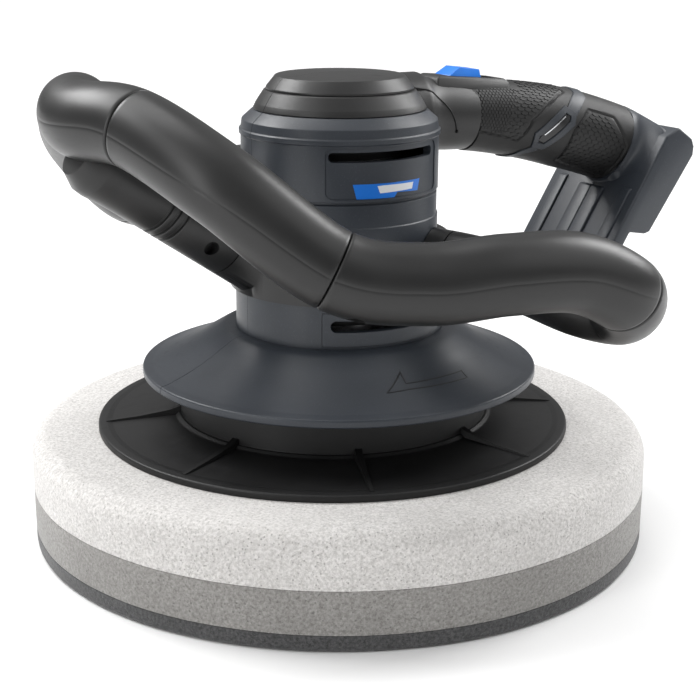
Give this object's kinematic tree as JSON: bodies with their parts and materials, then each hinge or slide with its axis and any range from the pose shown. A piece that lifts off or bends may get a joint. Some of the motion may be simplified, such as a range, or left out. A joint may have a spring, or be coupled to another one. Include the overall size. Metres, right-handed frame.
{
  "type": "dual action polisher",
  "caption": "Cordless orbital polisher with a foam pad, a ring handle for both hands, a D handle with a slide switch and a battery mount.",
  "frame": {"origin": "on the drive axis, at the working face of the foam pad", "axes": "+Z along the drive axis away from the pad, +X towards the D handle and battery mount, Y across the tool"},
  "size_m": [0.2746, 0.2496, 0.1804],
  "materials": {
    "foam_dark": "open-cell foam",
    "foam_grey": "open-cell foam",
    "foam_light": "open-cell foam",
    "hook_fabric": "hook fabric",
    "black_plastic": "satin",
    "slate_plastic": "fine spark texture",
    "rubber_grip": "matt",
    "blue_plastic": "satin",
    "steel": "machined",
    "cast_weight": "cast",
    "alu": "cast",
    "copper_core": "wound",
    "ferrite": "sintered",
    "board": "satin"
  },
  "bodies": {
    "housing": {"motor_can": "steel", "motor_magnets": "ferrite", "motor_endcap": "black_plastic", "motor_mount": "black_plastic", "motor_screws": "steel", "lower_bearing": "steel", "upper_bearing": "steel", "bearing_carrier": "alu", "skirt_right": "slate_plastic", "skirt_left": "slate_plastic", "skirt_screws": "steel", "collar_right": "slate_plastic", "collar_left": "slate_plastic", "vent_panel_right": "slate_plastic", "vent_panel_left": "slate_plastic", "yoke": "black_plastic", "body_right": "slate_plastic", "body_left": "slate_plastic", "label_right": "blue_plastic", "label_left": "blue_plastic", "crown_right": "black_plastic", "crown_left": "black_plastic", "core_right": "black_plastic", "core_left": "black_plastic", "cap_right": "black_plastic", "cap_left": "black_plastic", "shell_screws": "steel", "grip_front": "rubber_grip", "grip_rear": "rubber_grip", "accent_band": "slate_plastic", "accent_inserts": "black_plastic", "switch_surround": "black_plastic", "switch_body": "black_plastic", "control_board": "board", "mount_right": "slate_plastic", "mount_left": "slate_plastic", "terminal_block": "black_plastic", "ring_nose": "black_plastic", "strut": "black_plastic", "ring_arm_right": "black_plastic", "ring_arm_left": "black_plastic", "ring_side_right": "black_plastic", "ring_side_left": "black_plastic", "ring_end_right": "black_plastic", "ring_end_left": "black_plastic"},
    "drive": {"eccentric": "steel", "counterweight": "cast_weight", "drive_shaft": "steel", "cooling_fan": "black_plastic", "armature": "copper_core", "retaining_bolt": "steel"},
    "pad": {"foam_base": "foam_dark", "foam_mid": "foam_grey", "foam_top": "foam_light", "hook_disc": "hook_fabric", "backing_plate": "black_plastic", "plate_hub": "alu", "plate_screws": "steel", "orbit_bearing": "steel"},
    "switch": {"switch_button": "blue_plastic"}
  },
  "joints": [
    {"name": "drive_spin", "type": "hinge", "parent": "housing", "child": "drive", "pos_m": [0, 0, 0.07], "axis": [0, 0, 1], "continuous": true},
    {"name": "pad_spin", "type": "hinge", "parent": "drive", "child": "pad", "pos_m": [-0.00208, 0.0012, 0.05], "axis": [0, 0, 1], "continuous": true},
    {"name": "switch_slide", "type": "slide", "parent": "housing", "child": "switch", "axis": [0.9964, 0, -0.0847], "range_m": [0, 0.006]}
  ]
}
